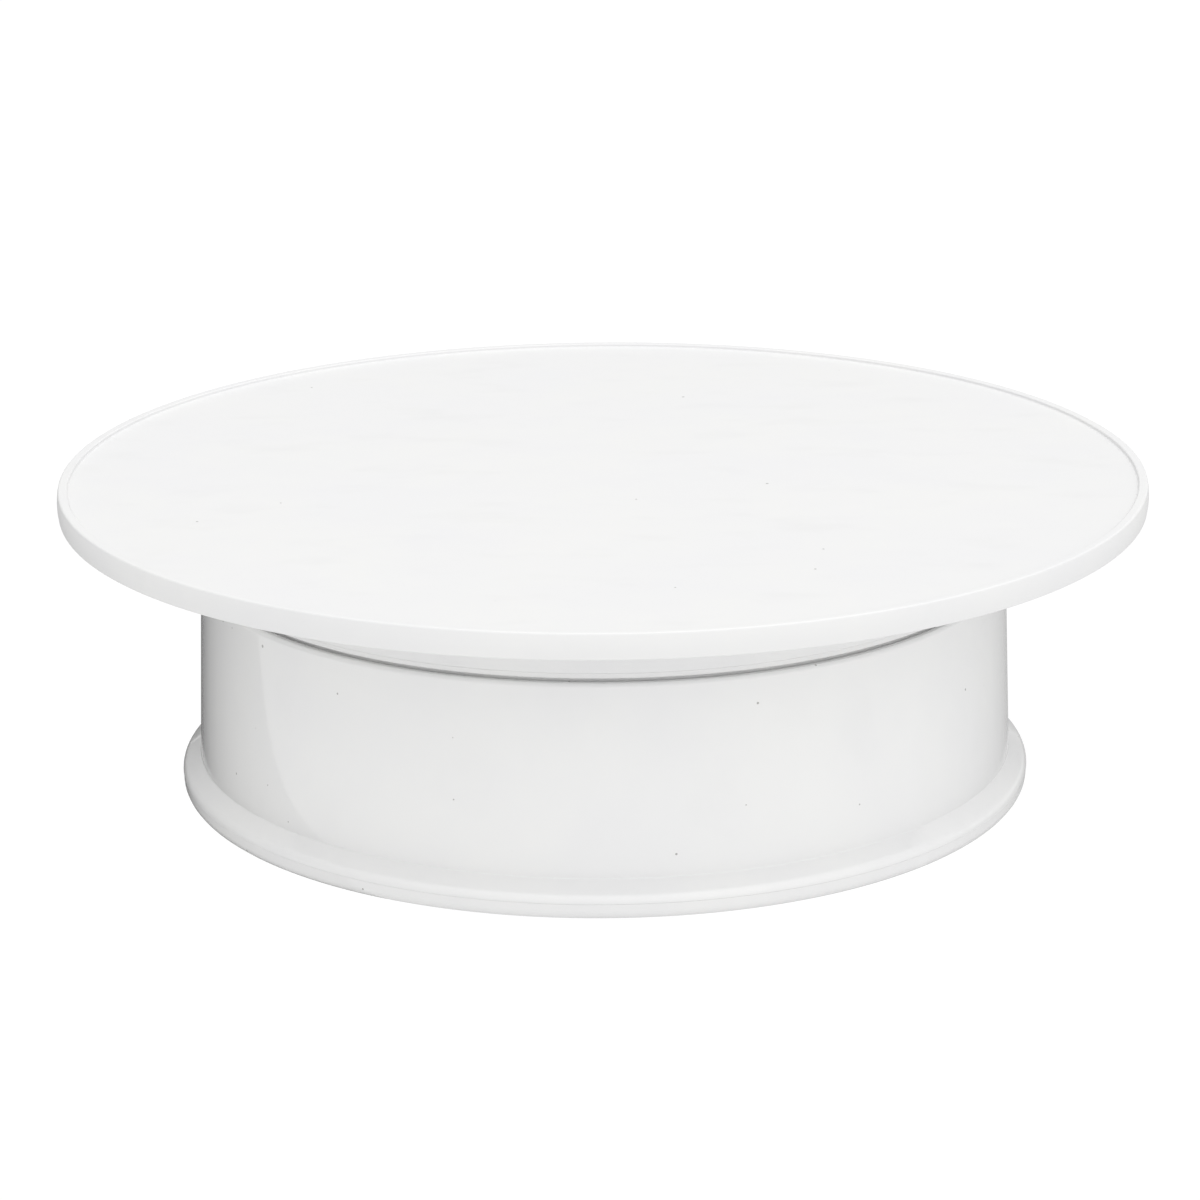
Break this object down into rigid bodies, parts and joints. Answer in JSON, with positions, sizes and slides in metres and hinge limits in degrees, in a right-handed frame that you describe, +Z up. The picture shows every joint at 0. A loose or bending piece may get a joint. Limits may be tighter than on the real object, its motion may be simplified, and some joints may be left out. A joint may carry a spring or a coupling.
{
  "type": "lazy susan turntable",
  "caption": "Hand-turned round turntable: a wide flat plate with a raised lip turns on a ball bearing over a broad flanged drum.",
  "frame": {"origin": "on the floor, at the centre of the base, on the turning axis", "axes": "+Z up along the turning axis; +X and +Y are level, and +X runs through the first foot"},
  "size_m": [0.25, 0.25, 0.074],
  "materials": {
    "white_satin": "satin white moulded plastic, lightly scuffed",
    "white_gloss": "polished white moulded plastic",
    "bearing_steel": "turned and ground steel with a film of grease",
    "zinc_screws": "bright zinc plate",
    "natural_nylon": "natural nylon",
    "black_acetal": "machined black acetal",
    "rubber": "dull moulded rubber"
  },
  "bodies": {
    "base": {"drum_wall": "white_gloss", "bearing_deck": "white_gloss", "lower_race": "bearing_steel", "lower_race_screws": "zinc_screws", "upper_bush": "black_acetal", "lower_bush": "black_acetal", "base_cover": "white_gloss", "cover_screws": "zinc_screws", "foot_1": "rubber", "foot_2": "rubber", "foot_3": "rubber", "foot_4": "rubber", "foot_5": "rubber", "foot_6": "rubber"},
    "rotor": {"top_plate": "white_satin", "skirt_ring": "white_satin", "bearing_plate": "white_gloss", "bearing_plate_screws": "zinc_screws", "upper_race": "bearing_steel", "upper_race_screws": "zinc_screws", "spindle": "bearing_steel", "spindle_screws": "zinc_screws", "thrust_washer": "natural_nylon", "wave_washer": "bearing_steel", "retaining_clip": "bearing_steel"},
    "ball_ring": {"ball_cage": "natural_nylon", "bearing_balls": "bearing_steel"}
  },
  "joints": [
    {"name": "plate_spin", "type": "hinge", "parent": "base", "child": "rotor", "pos_m": [0, 0, 0.05], "axis": [0, 0, 1], "continuous": true},
    {"name": "ball_ring_spin", "type": "hinge", "parent": "base", "child": "ball_ring", "pos_m": [0, 0, 0.05], "axis": [0, 0, 1], "continuous": true}
  ],
  "couplings": [
    {"joint": "ball_ring_spin", "follows": "plate_spin", "ratio": 0.5}
  ]
}
